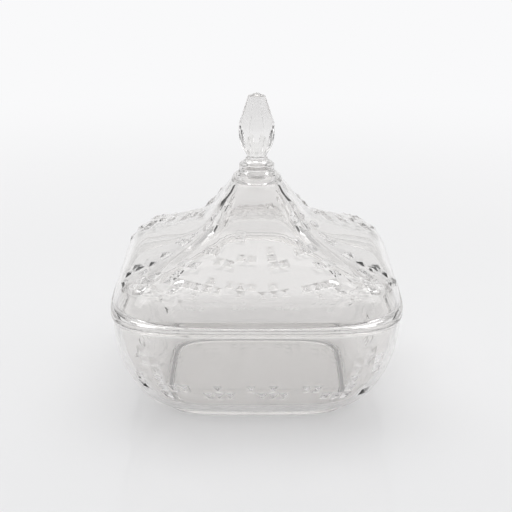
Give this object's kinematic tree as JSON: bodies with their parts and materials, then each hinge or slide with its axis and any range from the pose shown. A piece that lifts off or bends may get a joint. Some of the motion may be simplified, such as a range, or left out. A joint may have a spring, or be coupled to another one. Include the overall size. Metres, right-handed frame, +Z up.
{
  "type": "candy box",
  "caption": "Clear moulded candy box: square bulging bowl on a low foot, lift-off lid with a swept four-sided roof, and a faceted drop knob seated in the lid's crown.",
  "frame": {"origin": "centre of the foot's underside, on the table", "axes": "+Z up along the axis of the box and its knob; X and Y square to its four faces"},
  "size_m": [0.2, 0.2, 0.2121],
  "materials": {
    "clear_acrylic_bowl": "gloss",
    "clear_acrylic_lid": "gloss",
    "clear_acrylic_knob": "gloss"
  },
  "bodies": {
    "bowl_body": {"bowl": "clear_acrylic_bowl"},
    "lid_body": {"lid": "clear_acrylic_lid", "knob": "clear_acrylic_knob"}
  },
  "joints": [
    {"name": "lid_lift", "type": "slide", "parent": "bowl_body", "child": "lid_body", "axis": [0, 0, 1], "range_m": [0, 0.15]}
  ]
}
